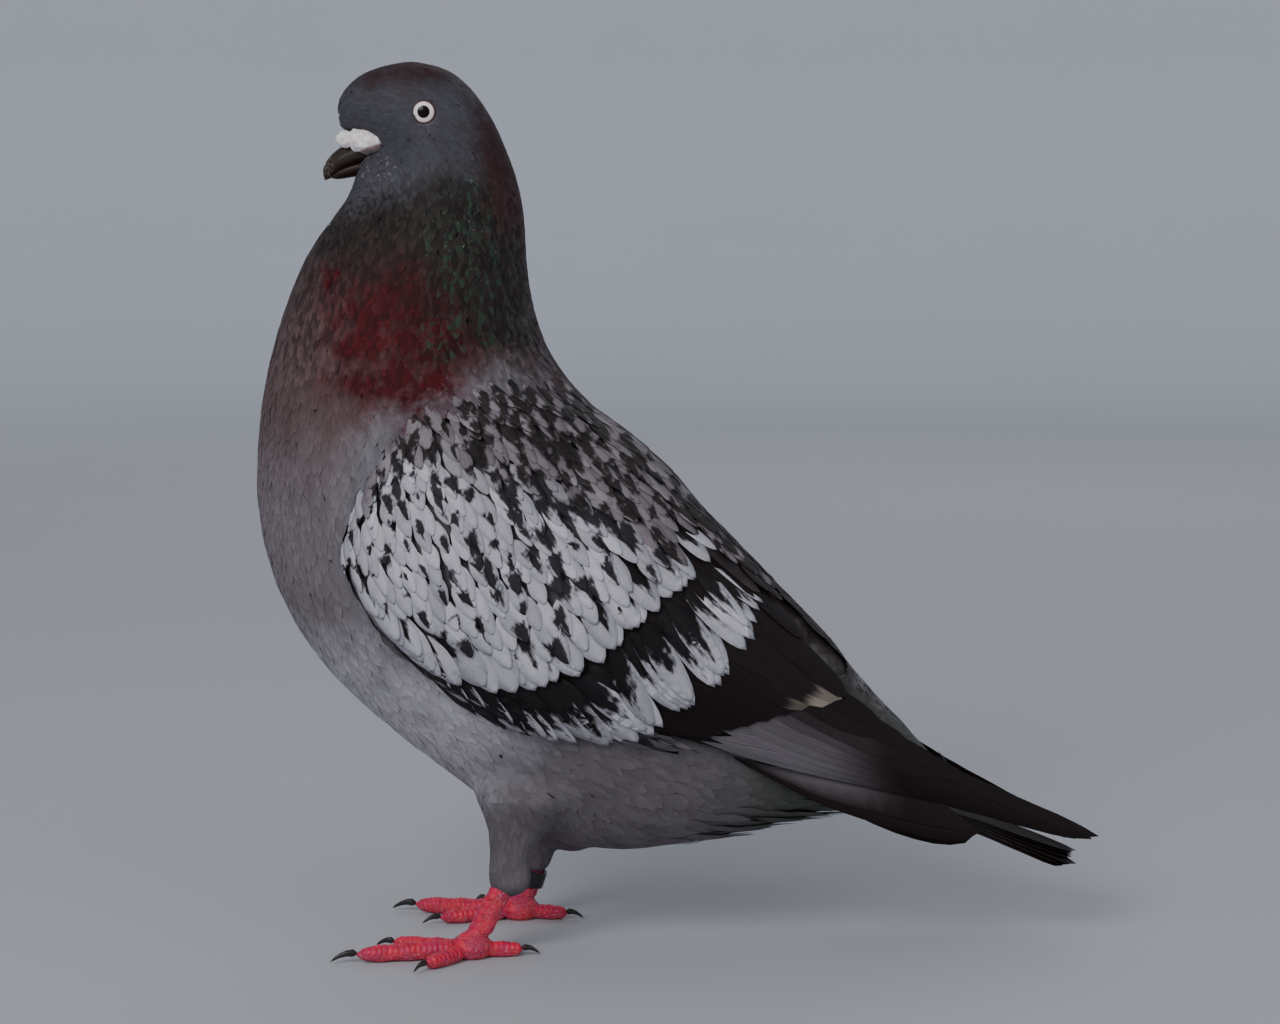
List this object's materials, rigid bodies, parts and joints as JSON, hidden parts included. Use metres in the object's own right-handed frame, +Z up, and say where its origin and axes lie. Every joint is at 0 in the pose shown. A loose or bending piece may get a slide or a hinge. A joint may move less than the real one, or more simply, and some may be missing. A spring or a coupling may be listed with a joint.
{
  "type": "pigeon",
  "caption": "Life-size still model of a blue chequer homing pigeon standing upright, wings folded, with a plain ring on its right leg.",
  "frame": {"origin": "middle of the bird's bounding box on the floor, under the belly just behind the feet", "axes": "+Z up, the bird faces -X, its left side faces -Y"},
  "size_m": [0.2384, 0.1054, 0.248],
  "materials": {
    "head_plumage": "short soft feathers, dark slate",
    "neck_plumage": "glossy feathers, dark with green and crimson sheen",
    "body_plumage": "soft feathers, bluish grey with a vinous breast",
    "chequer_plumage": "smooth feathers, light grey with black flecks and bars",
    "flight_feathers": "stiff vanes, grey to brown-black",
    "tail_feathers": "stiff vanes, slate with a dark end band",
    "eye": "wet gloss, pearl white iris and black pupil",
    "bill_horn": "satin horn",
    "cere_skin": "powdery white skin",
    "leg_skin": "scaly red skin",
    "claw_horn": "satin horn",
    "ring_plastic": "smooth gloss"
  },
  "bodies": {
    "root": {"bill_lower": "bill_horn", "bill_upper": "bill_horn", "cere_left": "cere_skin", "cere_right": "cere_skin", "claw_hallux_left": "claw_horn", "claw_hallux_right": "claw_horn", "claw_inner_left": "claw_horn", "claw_inner_right": "claw_horn", "claw_middle_left": "claw_horn", "claw_middle_right": "claw_horn", "claw_outer_left": "claw_horn", "claw_outer_right": "claw_horn", "eye_left": "eye", "eye_right": "eye", "head": "head_plumage", "leg_ring": "ring_plastic", "neck": "neck_plumage", "outer_primary_left": "flight_feathers", "outer_primary_right": "flight_feathers", "primaries_left": "flight_feathers", "primaries_right": "flight_feathers", "secondaries_left": "flight_feathers", "secondaries_right": "flight_feathers", "tail": "tail_feathers", "tarsus_left": "leg_skin", "tarsus_right": "leg_skin", "thigh_left": "body_plumage", "thigh_right": "body_plumage", "toe_hallux_left": "leg_skin", "toe_hallux_right": "leg_skin", "toe_inner_left": "leg_skin", "toe_inner_right": "leg_skin", "toe_middle_left": "leg_skin", "toe_middle_right": "leg_skin", "toe_outer_left": "leg_skin", "toe_outer_right": "leg_skin", "trunk": "body_plumage", "wing_coverts_left": "chequer_plumage", "wing_coverts_right": "chequer_plumage"}
  },
  "joints": []
}
